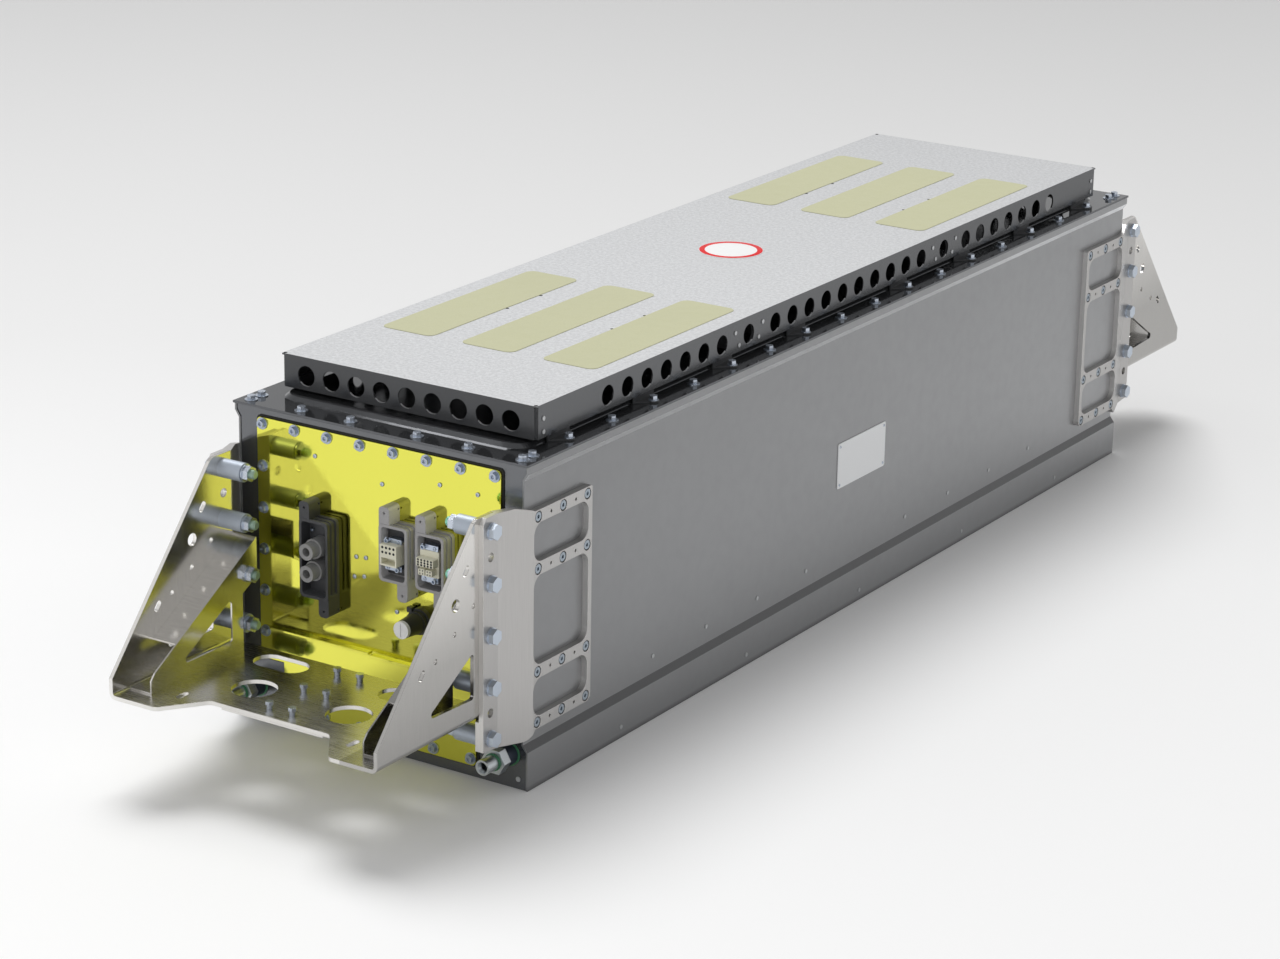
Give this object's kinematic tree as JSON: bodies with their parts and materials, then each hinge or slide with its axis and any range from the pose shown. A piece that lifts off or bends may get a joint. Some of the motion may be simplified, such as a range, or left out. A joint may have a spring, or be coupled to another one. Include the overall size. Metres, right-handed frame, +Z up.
{
  "type": "marine battery storage system",
  "caption": "Long sheet-metal marine battery box with ventilated cover, yellow connector panel, coolant fittings and a bolted cradle bracket at each end.",
  "frame": {"origin": "middle of the flat underside of the box", "axes": "+Z up, +Y along the length away from the connector end, +X to the right seen from the connector end"},
  "size_m": [0.6112, 2.96, 0.6413],
  "materials": {
    "underbody_grey": "satin",
    "side_sheet_grey": "satin metallic",
    "end_plate_grey": "satin",
    "lid_dark": "gloss",
    "black_rubber": "matte",
    "zinc_bolts": "zinc plated",
    "cover_light_grey": "fine textured satin",
    "olive_pad": "matte",
    "bracket_dark": "satin",
    "rivet_silver": "satin",
    "panel_yellow": "gloss",
    "graphite_housing": "satin",
    "contact_grey": "satin",
    "contact_brass": "satin",
    "warm_grey_housing": "satin",
    "cream_insert": "matte",
    "black_plastic": "satin",
    "white_plastic": "satin",
    "sleeve_blue": "satin",
    "fitting_steel": "satin",
    "seal_green": "satin",
    "plate_brushed": "brushed",
    "cradle_steel": "polished",
    "tube_steel": "polished",
    "inner_aluminium": "satin",
    "module_black": "matte",
    "busbar_copper": "satin",
    "board_green": "satin"
  },
  "bodies": {
    "root": {"floor_pan": "underbody_grey", "side_panel_right": "side_sheet_grey", "side_panel_left": "side_sheet_grey", "front_end_plate": "end_plate_grey", "rear_end_plate": "end_plate_grey", "top_frame": "lid_dark", "lid_gasket": "black_rubber", "lid": "lid_dark", "lid_washers": "zinc_bolts", "lid_bolts": "zinc_bolts", "cover": "cover_light_grey", "cover_pads": "olive_pad", "cover_brackets": "bracket_dark", "cover_crossbars": "bracket_dark", "cover_rivets": "rivet_silver", "body_rivets": "rivet_silver", "panel_gasket": "black_rubber", "connector_panel": "panel_yellow", "panel_washers": "zinc_bolts", "panel_bolts": "zinc_bolts", "power_housing": "graphite_housing", "power_contacts": "contact_grey", "power_pins": "contact_brass", "signal_housing_left": "warm_grey_housing", "signal_housing_right": "warm_grey_housing", "signal_insert_left": "cream_insert", "signal_insert_right": "cream_insert", "pressure_plug": "black_plastic", "pressure_plug_cap": "white_plastic", "fitting_sleeves": "sleeve_blue", "coolant_fittings": "fitting_steel", "fitting_seals": "seal_green", "mount_plate_front_right": "plate_brushed", "mount_plate_front_left": "plate_brushed", "mount_plate_rear_right": "plate_brushed", "mount_plate_rear_left": "plate_brushed", "mount_plate_screws": "zinc_bolts", "backing_bars": "underbody_grey", "cradle_front": "cradle_steel", "cradle_rear": "cradle_steel", "gusset_front_right": "cradle_steel", "gusset_front_left": "cradle_steel", "gusset_rear_right": "cradle_steel", "gusset_rear_left": "cradle_steel", "column_bolts": "zinc_bolts", "spacer_tubes": "tube_steel", "column_washers": "zinc_bolts", "column_nuts": "zinc_bolts", "under_plates": "cradle_steel", "shelf_bolts": "zinc_bolts", "shelf_nuts": "zinc_bolts", "inner_frame": "underbody_grey", "cold_plates": "inner_aluminium", "coolant_manifolds": "inner_aluminium", "battery_modules": "module_black", "module_terminals": "contact_brass", "busbars": "busbar_copper", "bay_plate": "inner_aluminium", "contactors": "black_plastic", "control_board": "board_green"}
  },
  "joints": []
}
